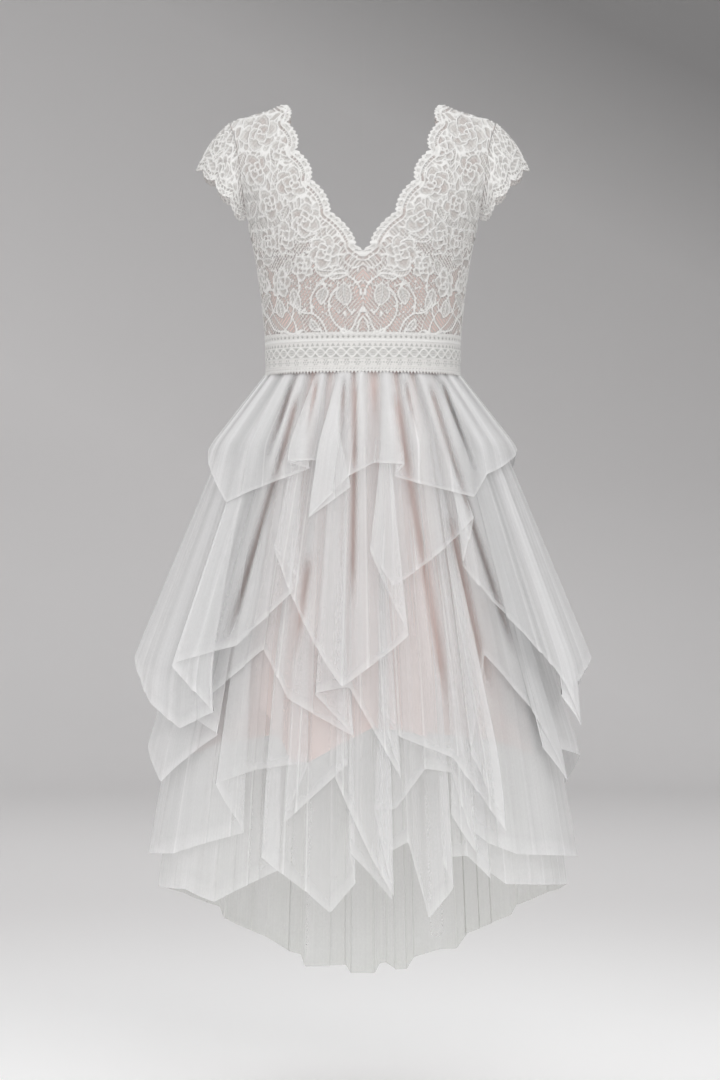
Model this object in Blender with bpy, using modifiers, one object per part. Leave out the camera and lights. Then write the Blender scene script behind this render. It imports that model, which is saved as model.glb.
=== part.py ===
"""Knee-length lace and tulle dress with a high-low hem, filled out with no wearer.

Metres, +Z up, the front faces -Y and the wearer's left is +X. Tables are in millimetres: a drop is the
distance below the tips of the neckline, and an azimuth is in degrees from the centre front towards +X.
The origin is between the shoulders, where the dress is held.
"""

import math

import bpy
import numpy as np

MM = 0.001
TIP_HEIGHT = 15.0  # the neckline tips above the origin
WALL = 1.0  # every cloth wall
SEAM_GAP = 0.3  # between two pieces at a seam
LACE_OUT = WALL + SEAM_GAP  # the lace lies this far out from the lining's inner face
ROUNDNESS = 2.2  # exponent of the body sections: 2 is an ellipse

WAIST_DROP = 374.0
BAND_TOP_DROP = 324.0
UNDERARM_DROP = 175.0
CHEST_DROP = 157.0
SHOULDER_TIP_X = 187.0
NECK_TIP_X = 109.0
SHOULDER_FALL = 24.0

# Body sections: half width and the depth before and behind the side seams.
BODY = {
    "drop": (0, 24, 50, 80, 110, 140, 160, 175, 208, 265, 324, 374),
    "half_width": (212, 210, 205, 196, 184, 168, 161, 156.5, 149, 140.5, 134.5, 133.5),
    "front": (100, 104, 109, 115, 121, 126, 128, 129, 127, 113, 100, 99),
    "back": (92, 95, 99, 102, 104, 105, 105, 104, 103, 98, 94, 93),
}
# The V-shaped edge of the lining before, and behind, where it is wider and deeper.
FRONT_NECK = {"drop": (0, 40, 75, 112, 150, 185, 225), "x": (116, 108, 96, 78, 58, 33, 0)}
BACK_NECK = {"drop": (0, 45, 90, 135, 180, 225, 268), "x": (116, 113, 106, 92, 70, 40, 0)}
ARM_EDGE = {"drop": (24, 50, 80, 110, 140, 160, 175), "x": (185, 176, 170, 166, 162, 158.5, 156.5)}
BUST = {"x": 70.0, "drop": 222.0, "rise": 13.0, "across": 46.0, "along": 58.0}

NECK_ROWS = 16
WAIST_ROWS = 4
BAND_ROWS = 2
PANEL_COLUMNS = 7
SCALLOP_PITCH = 56.0
SCALLOP_DEPTH = 9.0
LACE_PAST_LINING = 4.0
EDGE_LIFT = 2.0  # the free scalloped edge stands off the lining

SLEEVE_COLUMNS = 24
SLEEVE_ROWS = 4
SLEEVE_LENGTH = 70.0
SLEEVE_LEAN = (0.57, -0.82)  # outward and downward parts of its fall
SLEEVE_FOOT_DROP = 150.0
SLEEVE_SCALLOP_PITCH = 34.0

SKIRT_TOP_DROP = WAIST_DROP + 0.9
SKIRT_WAIST_WIDTH = 137.0
SKIRT_WAIST_FRONT = 101.0
SKIRT_WAIST_BACK = 95.0
FRONT_FLARE = 0.85  # how far each layer stands out before and behind, against its sides
BACK_FLARE = 0.95
GATHER_DEPTH = 0.8  # of the folds at the waist, growing down the skirt
FOLD_GROWTH = 0.042
COLUMNS_A_FOLD = 4

# The folds all round: where each crest lies, and how deep the valley after it is.
FOLDS = {
    "azimuth": (-90, -71, -52, -35, -15, 2, 20, 38, 60, 90, 111, 131, 152, 170, 190, 209, 231, 250, 270),
    "valley": (0.9, 1.1, 0.9, 1.15, 0.85, 1.1, 0.95, 1.1, 0.9, 1.0, 1.1, 0.9, 1.1, 0.85, 1.1, 0.95, 1.1, 0.9, 0.9),
}

# Each skirt layer from the outside in: its half width down its length, and the drop of its hem all round.
# A handkerchief point is a low row between two higher ones.
TIER_1 = {
    "drop": (375, 476, 560),
    "half_width": (137, 216, 240),
    "azimuth": (-90, -70, -48, -40, -20, -15, -5, 5, 15, 20, 36, 50, 75, 90,
                105, 120, 135, 150, 165, 180, 195, 210, 225, 240, 255, 270),
    "hem": (476, 500, 550, 528, 503, 490, 522, 498, 500, 524, 540, 510, 500, 480,
            520, 495, 545, 500, 535, 490, 540, 505, 545, 500, 520, 476),
}
TIER_2 = {
    "drop": (375, 498, 769, 800),
    "half_width": (135.5, 207, 320, 328),
    "azimuth": (-90, -76, -62, -50, -35, -30, -25, -15, 0, 10, 25, 30, 40, 55, 65, 78, 90,
                105, 125, 140, 155, 170, 185, 200, 215, 230, 245, 256, 270),
    "hem": (769, 820, 840, 760, 735, 672, 615, 665, 612, 665, 630, 592, 572, 620, 740, 815, 769,
            820, 745, 650, 700, 640, 690, 640, 705, 660, 740, 815, 769),
}
TIER_3 = {
    "drop": (375, 769, 888, 950),
    "half_width": (134, 262, 300, 312),
    "azimuth": (-90, -70, -55, -40, -30, -20, -5, 0, 10, 20, 35, 50, 62, 75, 90,
                105, 120, 138, 155, 170, 185, 200, 215, 232, 250, 270),
    "hem": (888, 850, 880, 915, 770, 812, 850, 790, 730, 790, 750, 775, 790, 840, 905,
            850, 910, 800, 870, 790, 860, 800, 880, 830, 900, 888),
}
TIER_4 = {
    "drop": (375, 769, 937, 1043, 1100),
    "half_width": (132.5, 248, 281, 300, 306),
    "azimuth": (-90, -75, -55, -40, -30, -20, -5, 10, 20, 25, 35, 50, 70, 90,
                110, 125, 142, 158, 172, 188, 203, 220, 238, 255, 270),
    "hem": (1043, 1020, 1040, 985, 1000, 965, 895, 943, 890, 878, 990, 985, 1010, 1045,
            1000, 1060, 960, 1030, 950, 1040, 965, 1050, 980, 1030, 1043),
}
LONG_LAYER = {
    "drop": (375, 769, 937, 1086, 1250),
    "half_width": (131, 236, 266, 286, 300),
    "azimuth": (-90, -70, -45, -30, -20, -10, -5, 5, 10, 20, 25, 35, 40, 50, 65, 90,
                110, 128, 150, 160, 170, 180, 190, 200, 210, 232, 252, 270),
    "hem": (1090, 1085, 1076, 1025, 1045, 1072, 1030, 1000, 1055, 985, 1080, 1040, 1000, 1040, 1055, 1085,
            1112, 1146, 1195, 1220, 1242, 1250, 1244, 1230, 1196, 1148, 1112, 1090),
}
SKIRT_LINING = {
    "drop": (375, 760, 905),
    "half_width": (129.5, 215, 240),
    "azimuth": (-90, -30, 10, 30, 90, 180, 270),
    "hem": (905, 885, 840, 828, 850, 880, 905),
}

LACE_WHITE = (0.86, 0.85, 0.82, 1.0)
BLUSH = (0.80, 0.66, 0.62, 1.0)
TULLE_WHITE = (0.82, 0.83, 0.84, 1.0)


def clear_scene():
    for old in list(bpy.data.objects):
        bpy.data.objects.remove(old, do_unlink=True)


def new_collection(name):
    collection = bpy.data.collections.new(name)
    bpy.context.scene.collection.children.link(collection)
    return collection


def cloth_material(name, colour, roughness):
    material = bpy.data.materials.new(name)
    material.use_nodes = True
    shader = material.node_tree.nodes["Principled BSDF"]
    shader.inputs["Base Color"].default_value = colour
    shader.inputs["Roughness"].default_value = roughness
    material.diffuse_color = colour
    return material


def grid_normals(grid):
    """Unit normals of a grid of points, turned away from the dress's upright axis."""
    across = np.gradient(grid, axis=1)
    along = np.gradient(grid, axis=0)
    normals = np.cross(across, along)
    normals /= np.maximum(np.linalg.norm(normals, axis=2, keepdims=True), 1e-9)
    if (normals[..., :2] * grid[..., :2]).sum() < 0:
        normals = -normals
    return normals


def add_sheet(collection, name, grid, colour, roughness):
    """One cloth piece: an open surface through rows of points, given its wall outwards."""
    rows, columns = grid.shape[:2]
    index = np.arange(rows * columns).reshape(rows, columns)
    quads = np.stack([index[:-1, :-1], index[:-1, 1:], index[1:, 1:], index[1:, :-1]], axis=-1)
    first_normal = np.cross(grid[:-1, 1:] - grid[:-1, :-1], grid[1:, :-1] - grid[:-1, :-1])
    if (first_normal[..., :2] * grid[:-1, :-1, :2]).sum() < 0:
        quads = quads[..., ::-1]
    mesh = bpy.data.meshes.new(name)
    mesh.from_pydata((grid.reshape(-1, 3) * MM).tolist(), [], quads.reshape(-1, 4).tolist())
    mesh.shade_smooth()
    mesh.materials.append(cloth_material(name, colour, roughness))
    piece = bpy.data.objects.new(name, mesh)
    collection.objects.link(piece)
    wall = piece.modifiers.new("wall", "SOLIDIFY")
    wall.thickness = WALL * MM
    wall.offset = 1.0
    return piece


def torso_point(x, drop, back):
    """A point of the bodice's form at this distance from the centre line and this drop."""
    half_width = np.interp(drop, BODY["drop"], BODY["half_width"])
    depth = np.interp(drop, BODY["drop"], BODY["back" if back else "front"])
    across = min(abs(x) / half_width, 1.0)
    y = depth * (1.0 - across**ROUNDNESS) ** (1.0 / ROUNDNESS)
    if not back:
        y += BUST["rise"] * math.exp(
            -(((abs(x) - BUST["x"]) / BUST["across"]) ** 2) - ((drop - BUST["drop"]) / BUST["along"]) ** 2
        )
    y *= shoulder_roll(abs(x), drop)
    return (x, y if back else -y, TIP_HEIGHT - drop)


def shoulder_roll(x, drop):
    """From 0 at the shoulder seam to 1 at the chest: how far front and back have come apart."""
    seam = SHOULDER_FALL * max(x - NECK_TIP_X, 0.0) / (SHOULDER_TIP_X - NECK_TIP_X)
    down = min(max((drop - seam) / (CHEST_DROP - seam), 0.0), 1.0)
    return (1.0 - (1.0 - down) ** 1.7) ** 0.62


def section_angle(x, drop):
    half_width = np.interp(drop, BODY["drop"], BODY["half_width"])
    return math.asin(min(x / half_width, 1.0) ** (ROUNDNESS / 2))


def panel_rows(v_foot):
    """The drop at the neck or centre edge and at the arm or side edge of each row of a bodice panel."""
    neck = np.linspace(0.0, v_foot, NECK_ROWS + 1)
    arm = np.interp(neck, (0.0, 150.0, v_foot), (SHOULDER_FALL, UNDERARM_DROP, v_foot - 13.0))
    below = np.linspace(0.0, 1.0, WAIST_ROWS + 1)[1:]
    band = np.linspace(0.0, 1.0, BAND_ROWS + 1)[1:]
    neck_below = v_foot + below * (BAND_TOP_DROP - v_foot)
    arm_below = arm[-1] + below * (BAND_TOP_DROP - arm[-1])
    to_waist = BAND_TOP_DROP + band * (WAIST_DROP - BAND_TOP_DROP)
    return list(zip(np.r_[neck, neck_below, to_waist], np.r_[arm, arm_below, to_waist]))


def arm_edge_x(drop):
    if drop >= UNDERARM_DROP:
        return np.interp(drop, BODY["drop"], BODY["half_width"])
    return np.interp(drop, ARM_EDGE["drop"], ARM_EDGE["x"])


def panel_row(neck_drop, arm_drop, back):
    """The points of one row of a bodice panel on the wearer's left, from the neck to the side."""
    neck = BACK_NECK if back else FRONT_NECK
    neck_x = np.interp(neck_drop, neck["drop"], neck["x"])
    first = section_angle(neck_x, neck_drop)
    last = section_angle(arm_edge_x(arm_drop), arm_drop)
    points = []
    for share in np.linspace(0.0, 1.0, PANEL_COLUMNS + 1):
        drop = neck_drop + share * (arm_drop - neck_drop)
        half_width = np.interp(drop, BODY["drop"], BODY["half_width"])
        angle = first + share * (last - first)
        x = half_width * math.sin(angle) ** (2 / ROUNDNESS)
        points.append(torso_point(x, drop, back))
    return points


def panel_grid(back):
    """A bodice panel on the wearer's left, kept half a seam gap from the centre and from the side seam."""
    v_foot = (BACK_NECK if back else FRONT_NECK)["drop"][-1]
    grid = np.array([panel_row(neck, arm, back) for neck, arm in panel_rows(v_foot)])
    grid[..., 0] += SEAM_GAP / 2
    grid[..., 1] += SEAM_GAP / 2 if back else -SEAM_GAP / 2
    return grid


def lace_grid(lining):
    """The lace over a lining panel: its points moved out, with scallops past the lining along the V."""
    normals = grid_normals(lining)
    lace = lining + normals * LACE_OUT
    steps = np.linalg.norm(np.diff(lining[: NECK_ROWS + 1, 0], axis=0), axis=1)
    along = np.r_[0.0, np.cumsum(steps)]
    turns = round(along[-1] / SCALLOP_PITCH)
    wave = np.abs(np.sin(math.pi * turns * along / along[-1]))
    past = LACE_PAST_LINING + SCALLOP_DEPTH * wave
    past *= np.clip((along[-1] - along) / SCALLOP_DEPTH, 0.0, 1.0)
    outward = lining[: NECK_ROWS + 1, 0] - lining[: NECK_ROWS + 1, 1]
    outward /= np.linalg.norm(outward, axis=1, keepdims=True)
    lace[: NECK_ROWS + 1, 0] += outward * past[:, None]
    lace[: NECK_ROWS + 1, 0] += normals[: NECK_ROWS + 1, 0] * EDGE_LIFT * (past > 0)[:, None]
    lace[: NECK_ROWS + 1, 0, 0] = np.maximum(lace[: NECK_ROWS + 1, 0, 0], SEAM_GAP / 2)
    lace = lace[: NECK_ROWS + WAIST_ROWS + 1]
    lace[-1, :, 2] += SEAM_GAP
    return lace


def mirrored(grid):
    return grid * np.array((-1.0, 1.0, 1.0))


def band_grid(lining):
    """The waistband's half ring: both linings' lowest rows moved out and joined at the centre."""
    rows = slice(NECK_ROWS + WAIST_ROWS, None)
    half = (lining + grid_normals(lining) * LACE_OUT)[rows]
    half[:, 0, 0] = 0.0
    return np.concatenate([mirrored(half)[:, :0:-1], half], axis=1)


def sleeve_seam(share):
    """The armhole from its front foot (-1) over the shoulder (0) to its back foot (1)."""
    drop = SHOULDER_FALL + (SLEEVE_FOOT_DROP - SHOULDER_FALL) * abs(share) ** 1.4
    x = arm_edge_x(drop) + SEAM_GAP * 3
    point = np.array(torso_point(x, drop, share > 0))
    return point + np.array((0.6, 0.0, 0.9)) * LACE_OUT


def sleeve_grid():
    """The cap sleeve on the wearer's left, from the armhole to its scalloped hem."""
    shares = np.linspace(-1.0, 1.0, SLEEVE_COLUMNS + 1)
    seam = np.array([sleeve_seam(share) for share in shares])
    fall = np.array((SLEEVE_LEAN[0], 0.0, SLEEVE_LEAN[1]))
    swell = np.array((-SLEEVE_LEAN[1], 0.0, SLEEVE_LEAN[0]))
    length = SLEEVE_LENGTH * (1.0 - np.abs(shares) ** 1.3) + 5.0
    hem = seam + fall * length[:, None]
    along = np.r_[0.0, np.cumsum(np.linalg.norm(np.diff(hem, axis=0), axis=1))]
    turns = round(along[-1] / SLEEVE_SCALLOP_PITCH)
    length += SCALLOP_DEPTH * np.abs(np.sin(math.pi * turns * along / along[-1]))
    rows = []
    for down in np.linspace(0.0, 1.0, SLEEVE_ROWS + 1):
        bulge = 5.0 * math.sin(math.pi * down) * (1.0 - shares**2)
        row = seam + fall * (length * down)[:, None] + swell * bulge[:, None]
        row[:, 1] += 7.0 * down * shares
        rows.append(row)
    return np.array(rows)


def fold_columns(first, last, a_fold):
    """Azimuths from one side seam to the other, with this many columns to each fold, and each one's valley depth."""
    crests = FOLDS["azimuth"]
    azimuths, valleys = [], []
    for here, after, depth in zip(crests, crests[1:], FOLDS["valley"]):
        if here < first or after > last:
            continue
        for step in range(a_fold):
            share = step / a_fold
            azimuths.append(here + share * (after - here))
            valleys.append(depth * (1.0 - math.cos(2 * math.pi * share)))
    return np.array(azimuths + [last]), np.array(valleys + [0.0])


def skirt_point(layer, azimuth, valley, drop):
    crest = np.interp(drop, layer["drop"], layer["half_width"])
    fold = GATHER_DEPTH + FOLD_GROWTH * (drop - SKIRT_TOP_DROP)
    radius = crest - fold * valley
    stand = radius - SKIRT_WAIST_WIDTH
    angle = math.radians(azimuth)
    if abs(azimuth) <= 90.0:
        depth = SKIRT_WAIST_FRONT + stand * FRONT_FLARE
    else:
        depth = SKIRT_WAIST_BACK + stand * BACK_FLARE
    return (radius * math.sin(angle), -depth * math.cos(angle), TIP_HEIGHT - drop)


def skirt_grid(layer, back, lower_rows, a_fold=COLUMNS_A_FOLD):
    """Half of a skirt layer, with its top rows at the same drops as every other layer's."""
    first, last = (90.0, 270.0) if back else (-90.0, 90.0)
    azimuths, valleys = fold_columns(first, last, a_fold)
    hems = np.interp(azimuths, layer["azimuth"], layer["hem"])
    top = (SKIRT_TOP_DROP, 400.0)
    columns = []
    for azimuth, valley, hem in zip(azimuths, valleys, hems):
        lower = top[-1] + (hem - top[-1]) * np.linspace(0.0, 1.0, lower_rows + 1)[1:]
        columns.append([skirt_point(layer, azimuth, valley, drop) for drop in (*top, *lower)])
    grid = np.array(columns).transpose(1, 0, 2)
    grid[..., 1] += SEAM_GAP / 2 if back else -SEAM_GAP / 2
    return grid


def build():
    clear_scene()
    dress = new_collection("asymmetrical_dress")
    for back in (False, True):
        half = "back" if back else "front"
        lining = panel_grid(back)
        lace = lace_grid(lining)
        add_sheet(dress, f"lining_{half}_left", lining, BLUSH, 0.8)
        add_sheet(dress, f"lining_{half}_right", mirrored(lining), BLUSH, 0.8)
        add_sheet(dress, f"lace_{half}_left", lace, LACE_WHITE, 0.75)
        add_sheet(dress, f"lace_{half}_right", mirrored(lace), LACE_WHITE, 0.75)
        add_sheet(dress, f"waistband_{half}", band_grid(lining), LACE_WHITE, 0.75)
        add_sheet(dress, f"skirt_lining_{half}", skirt_grid(SKIRT_LINING, back, 3, 2), BLUSH, 0.7)
        add_sheet(dress, f"long_layer_{half}", skirt_grid(LONG_LAYER, back, 5), TULLE_WHITE, 0.6)
        add_sheet(dress, f"tier_4_{half}", skirt_grid(TIER_4, back, 4), TULLE_WHITE, 0.6)
        add_sheet(dress, f"tier_3_{half}", skirt_grid(TIER_3, back, 4), TULLE_WHITE, 0.6)
        add_sheet(dress, f"tier_2_{half}", skirt_grid(TIER_2, back, 4), TULLE_WHITE, 0.6)
        add_sheet(dress, f"tier_1_{half}", skirt_grid(TIER_1, back, 3), TULLE_WHITE, 0.6)
    add_sheet(dress, "sleeve_left", sleeve_grid(), LACE_WHITE, 0.75)
    add_sheet(dress, "sleeve_right", mirrored(sleeve_grid()), LACE_WHITE, 0.75)


build()
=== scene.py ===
"""Looks for the lace and tulle dress: its lace, net, lining and tulle, the light and the camera.

Tables are in millimetres, as in the CAD: a drop is the distance below the tips of the neckline, and an
azimuth is in degrees from the centre front towards +X. The front faces -Y.
"""

import math

import bpy
import numpy as np
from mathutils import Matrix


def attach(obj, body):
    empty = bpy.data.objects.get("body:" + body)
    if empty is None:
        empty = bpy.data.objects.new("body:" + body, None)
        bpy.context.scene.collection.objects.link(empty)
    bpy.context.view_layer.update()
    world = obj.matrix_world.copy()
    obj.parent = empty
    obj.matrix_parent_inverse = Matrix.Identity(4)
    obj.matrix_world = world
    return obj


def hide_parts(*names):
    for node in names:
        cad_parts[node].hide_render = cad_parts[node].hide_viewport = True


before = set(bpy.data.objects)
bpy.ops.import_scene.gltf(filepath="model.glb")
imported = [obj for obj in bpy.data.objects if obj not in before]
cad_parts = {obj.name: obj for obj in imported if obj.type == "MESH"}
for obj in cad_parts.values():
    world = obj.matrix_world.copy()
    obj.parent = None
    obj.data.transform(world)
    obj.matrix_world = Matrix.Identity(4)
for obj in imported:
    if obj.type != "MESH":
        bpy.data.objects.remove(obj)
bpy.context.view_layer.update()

MM = 0.001
TIP_HEIGHT = 15.0
ROUNDNESS = 2.2  # power of the bodice's oval sections
WAIST_DROP = 374.0
BAND_TOP_DROP = 324.0
UNDERARM_DROP = 175.0
CHEST_DROP = 157.0
SHOULDER_TIP_X = 187.0
NECK_TIP_X = 109.0
SHOULDER_FALL = 24.0

# The bodice's form at each drop: half its width, and how far it stands out in front and behind.
BODY = {
    "drop": (0, 24, 50, 80, 110, 140, 160, 175, 208, 265, 324, 374),
    "half_width": (212, 210, 205, 196, 184, 168, 161, 156.5, 149, 140.5, 134.5, 133.5),
    "front": (100, 104, 109, 115, 121, 126, 128, 129, 127, 113, 100, 99),
    "back": (92, 95, 99, 102, 104, 105, 105, 104, 103, 98, 94, 93),
}
FRONT_NECK = {"drop": (0, 40, 75, 112, 150, 185, 225), "x": (116, 108, 96, 78, 58, 33, 0)}
BACK_NECK = {"drop": (0, 45, 90, 135, 180, 225, 268), "x": (116, 113, 106, 92, 70, 40, 0)}
ARM_EDGE = {"drop": (24, 50, 80, 110, 140, 160, 175), "x": (185, 176, 170, 166, 162, 158.5, 156.5)}
BUST = {"x": 70.0, "drop": 222.0, "rise": 13.0, "across": 46.0, "along": 58.0}

# Where the halves of the bodice start beside the centre line, and how far each layer lies off the form.
LINING_START_X = 0.02
LACE_START_X = 0.2
LINING_LIFT = 0.5
LACE_LIFT = 1.8
LACE_EDGE_LIFT = 1.6
BODICE_CORD_HEIGHT = 1.1
SLEEVE_CORD_HEIGHT = 0.9
NET_SINK = 0.3

SCALLOP_PITCH = 56.0
SCALLOP_DEPTH = 9.0
SCALLOP_POWER = 0.7
LACE_PAST_LINING = 3.0
TOOTH_DEPTH = 3.0
TOOTH_FADE = (1.0, 0.6, 0.3, 0.1)  # how far the first points of a row follow a tooth
PICOT_PITCH = 8.0
SLEEVE_LENGTH = 70.0
SLEEVE_LEAN = (0.57, -0.82)
SLEEVE_FOOT_DROP = 150.0
SLEEVE_SCALLOP_PITCH = 34.0
SLEEVE_TOOTH_DEPTH = 1.4
BAND_PATTERN_REPEATS = 26
BAND_MARGIN = 2.5

# The skirt's half width at the waist; then its depth there, how much that grows for each millimetre of width,
# and the depth past which it grows only by a share of that.
SKIRT_TOP_DROP = WAIST_DROP + 0.9
SKIRT_WAIST_WIDTH = 137.0
FRONT_DEPTH = (101.0, 0.85, 185.0)
BACK_DEPTH = (95.0, 0.95, 215.0)
SHARE_PAST_EASING = 0.5

# The skirt's folds. Depths are for each millimetre below the waist, down to the last one that counts.
TULLE_COLUMNS = 520
TULLE_ROWS = 28
LAST_GROWTH = 420.0
FOLDED_UNDER_DEPTH = 0.036
CONE_DEPTH = 0.030
PLEAT_DEPTH = 0.014
PLEAT_LESS_ASIDE = 0.010
GATHER_DIP = 2.0
WAIST_DIP = 0.6
VALLEY_DEPTH = 0.03
DEEPEST_VALLEY = 3.0
VALLEY_RUN = 315.0
FOLD_WIDTH = 34.0
GATHER_BUNDLES = 28
GATHERS = 1.12  # cut area of gathered tulle for each square metre that hangs

# Half the width of each skirt layer by drop, from the outermost inwards.
TIER_1 = {"drop": (375, 476, 560), "half_width": (137, 216, 240)}
TIER_2 = {"drop": (375, 498, 769, 800), "half_width": (135.5, 207, 320, 328)}
TIER_3 = {"drop": (375, 769, 888, 950), "half_width": (134, 262, 300, 312)}
TIER_4 = {"drop": (375, 769, 937, 1043, 1100), "half_width": (132.5, 248, 281, 300, 306)}
LONG_LAYER = {"drop": (375, 769, 937, 1086, 1250), "half_width": (131, 236, 266, 286, 300)}
SKIRT_LINING = {"drop": (375, 760, 905), "half_width": (129.5, 215, 240)}

# Flowers of half a bodice: distance from the centre line round the body, drop, radius and petals.
FRONT_ROSES = (
    (148, 42, 27, 6), (112, 70, 19, 5), (154, 98, 22, 6), (100, 120, 23, 6), (136, 146, 21, 5),
    (80, 172, 22, 6), (116, 194, 21, 6), (52, 216, 21, 6), (150, 196, 18, 5), (84, 236, 16, 5),
    (122, 254, 18, 5), (172, 246, 18, 5), (198, 290, 18, 5),
)
BACK_ROSES = (
    (150, 44, 27, 6), (132, 94, 22, 6), (164, 128, 20, 5), (114, 148, 22, 6), (144, 178, 20, 5),
    (92, 200, 22, 6), (124, 226, 18, 6), (64, 242, 21, 6), (164, 216, 18, 5), (96, 264, 18, 5),
    (26, 294, 18, 5), (138, 268, 19, 6), (180, 266, 18, 5), (198, 300, 17, 5),
)
SLEEVE_ROSES = (
    (30, 22, 15, 5), (66, 34, 17, 6), (106, 24, 18, 6), (146, 42, 18, 5), (184, 26, 17, 6), (220, 26, 15, 5),
)
# Leaves: distance and drop of the stalk, distance and drop of the tip, and half the width.
FRONT_LEAVES = (
    (124, 96, 128, 60, 8), (128, 120, 118, 98, 7), (168, 70, 184, 100, 9), (160, 140, 186, 160, 8),
    (96, 196, 62, 190, 7), (104, 150, 116, 170, 7), (66, 236, 40, 240, 7), (20, 242, 46, 250, 6),
    (104, 222, 110, 244, 7), (140, 222, 168, 220, 8), (176, 180, 196, 204, 8), (146, 268, 176, 286, 9),
    (100, 262, 88, 290, 8), (124, 276, 118, 300, 8), (26, 256, 22, 286, 10), (50, 262, 58, 284, 7),
    (72, 304, 60, 320, 5), (194, 228, 212, 262, 8), (184, 306, 196, 322, 6),
)
BACK_LEAVES = (
    (170, 70, 188, 102, 9), (150, 100, 146, 126, 7), (118, 110, 128, 128, 7), (168, 156, 190, 178, 8),
    (106, 176, 122, 196, 7), (78, 216, 96, 226, 7), (144, 206, 148, 232, 7), (84, 248, 60, 268, 8),
    (116, 248, 128, 244, 6), (54, 270, 30, 276, 7), (160, 240, 184, 240, 8), (110, 284, 96, 318, 9),
    (48, 296, 56, 322, 7), (154, 290, 166, 320, 8), (196, 228, 212, 262, 8), (74, 290, 80, 318, 7),
)
SLEEVE_LEAVES = (
    (48, 46, 44, 66, 6), (84, 20, 90, 46, 6), (126, 24, 124, 56, 6), (164, 30, 168, 58, 6),
    (202, 20, 206, 44, 6),
)
# Cords over the open lace above the band: distance and drop of both ends, and the bow between them.
LOW_THREADS = (
    (0, 286, 17, 322, 0), (0, 276, 24, 244, -5), (24, 244, 60, 258, -6), (17, 322, 46, 294, 6),
    (46, 294, 34, 262, 5), (60, 258, 70, 296, -6), (70, 296, 50, 322, 4), (70, 296, 98, 280, 6),
    (98, 280, 118, 320, 7), (98, 280, 90, 250, -5), (128, 260, 150, 300, 7), (150, 300, 176, 320, -5),
    (150, 300, 184, 268, 6), (118, 320, 150, 300, 5), (0, 300, 8, 322, -2),
)
# Valleys between the folds, where the lining shows through the parted tulle: distance from the centre line at
# the waist and at the foot of a valley's run, the drops they lie between, and half their width.
VALLEYS = (
    (-94, -197, 375, 500, 5), (-81, -175, 400, 760, 6), (-60, -128, 375, 470, 4), (-39, -84, 620, 770, 7),
    (-25, -44, 375, 480, 4), (-10, -15, 380, 700, 5), (14, 30, 375, 450, 4), (41, 94, 400, 830, 7),
    (56, 124, 375, 470, 4), (70, 150, 570, 820, 8), (87, 192, 385, 760, 6), (106, 228, 375, 520, 4),
)

# The hems of the skirt's layers, in order along the cloth: azimuth and drop. Where the azimuth steps back,
# the cloth is folded behind itself.
HEM_1 = (
    (-90, 476), (-66, 522), (-54, 555), (-19, 510), (-28, 500), (-15, 498), (-4, 534), (-18, 577),
    (-5, 520), (4, 502), (15, 504), (11, 520), (20, 530), (41, 548), (50, 516), (66, 500), (90, 478),
)
HEM_2 = (
    (-90, 769), (-68, 830), (-52, 861), (-40, 836), (-55, 774), (-35, 748), (-19, 662), (-29, 614),
    (-5, 801), (12, 732), (2, 617), (9, 668), (22, 630), (40, 574), (32, 640), (48, 732), (60, 800),
    (66, 862), (60, 816), (90, 770),
)
HEM_3 = (
    (-90, 892), (-68, 938), (-44, 868), (-56, 842), (-33, 752), (-22, 818), (-2, 868), (-14, 810),
    (-4, 801), (3, 860), (10, 924), (5, 830), (10, 868), (24, 896), (38, 998), (30, 888), (42, 760),
    (57, 836), (68, 940), (58, 886), (90, 908),
)
HEM_4 = (
    (-90, 1044), (-62, 1034), (-34, 998), (-46, 935), (-32, 914), (-16, 902), (-22, 985), (-4, 902),
    (-8, 920), (2, 1026), (8, 1080), (3, 964), (9, 964), (18, 911), (26, 917), (32, 1029), (25, 970),
    (36, 1012), (46, 1030), (90, 1048),
)
HEM_LONG_FRONT = (
    (-90, 1090), (-60, 1082), (-46, 1095), (-24, 1046), (-30, 1030), (-16, 1074), (-9, 1102), (-2, 1062),
    (-4, 1020), (2, 1050), (8, 1085), (4, 1030), (13, 1008), (18, 1110), (26, 1070), (23, 1030),
    (31, 1029), (38, 1062), (34, 1040), (44, 1070), (90, 1088),
)
HEM_LINING_FRONT = (
    (-90, 905), (-60, 880), (-38, 830), (-24, 903), (-18, 903), (-8, 880), (8, 848), (22, 872), (30, 830),
    (44, 800), (52, 830), (90, 905),
)
HEM_LONG_BACK = (
    (90, 1088), (110, 1108), (128, 1134), (131, 1150), (148, 1184), (151, 1206), (157, 1209), (165, 1222),
    (167, 1240), (170.5, 1241), (173, 1231), (175, 1232), (176.5, 1247), (183.5, 1247), (185, 1234),
    (197, 1236), (198.5, 1217), (202, 1212), (209, 1189), (226, 1156), (229, 1137), (250, 1108), (270, 1090),
)
HEM_LINING_BACK = ((90, 905), (135, 892), (180, 880), (225, 892), (270, 905))

# The studio, in metres. The wall's tones are painted shade: they darken from the floor upwards and towards
# one side.
FLOOR_DROP = 1.37
STAGE_RADIUS = 6.0
BEND_RADIUS = 1.0
WALL_TOP = 5.0
WALL_HEIGHT_SHOWN = 3.0
PAINTED_WALL_SHADE = ((0.0, 0.73), (0.24, 0.725), (0.42, 0.65), (0.76, 0.51), (1.0, 0.28))
PAINTED_SHADE_ASIDE = 0.17
CAMERA_ASIDE = -0.004
CAMERA_DISTANCE = 4.0
CAMERA_DROP = 0.591
FRAME_HEIGHT = 1.512
SENSOR_HEIGHT = 24.0


def soften(line, reach):
    """A line averaged over this many neighbours on each side, its ends kept."""
    window = np.hanning(2 * reach + 3)[1:-1]
    padded = np.concatenate([2 * line[0] - line[reach:0:-1], line, 2 * line[-1] - line[-2:-reach - 2:-1]])
    return np.convolve(padded, window / window.sum(), "valid")


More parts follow.
